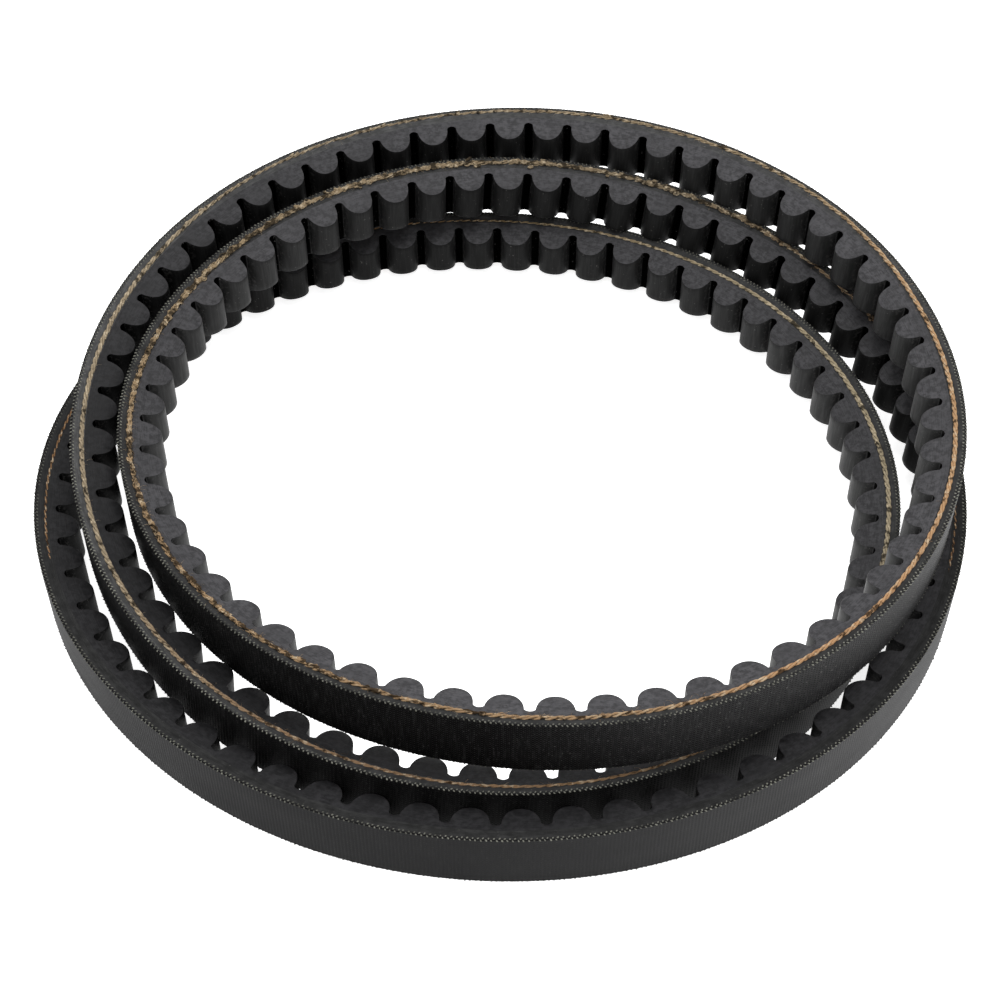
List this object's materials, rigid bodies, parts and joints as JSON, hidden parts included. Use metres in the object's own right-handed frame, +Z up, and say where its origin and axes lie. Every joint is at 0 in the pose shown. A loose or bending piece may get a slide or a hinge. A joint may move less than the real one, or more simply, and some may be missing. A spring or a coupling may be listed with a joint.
{
  "type": "v belt",
  "caption": "Endless raw-edge cogged V-belt, wound into a flat coil of loops: fabric back, rubber body with a tensile cord, and cogs on the inside.",
  "frame": {"origin": "on the floor, under the middle of the coil's bounding box", "axes": "+Z up, square to the floor the coil lies on; -Y is the front, where the loops lie furthest apart; the belt's back faces outward and its cogs face inward"},
  "size_m": [0.1816, 0.1796, 0.031],
  "materials": {
    "back_fabric": "matt rubber-filled weave",
    "inner_fabric": "cut thread ends in rubber",
    "overcord": "matt, cut with fine lengthwise streaks",
    "gum": "matt",
    "cord": "twisted tan yarn, cut and frayed where it meets the sidewall",
    "cog_rubber": "matt cut sidewalls, smoother black moulded cog faces"
  },
  "bodies": {
    "root": {"outer_fabric_ply": "back_fabric", "inner_fabric_ply": "inner_fabric", "overcord_rubber": "overcord", "cord_gum": "gum", "tensile_cord": "cord", "compression_rubber": "cog_rubber"}
  },
  "joints": []
}
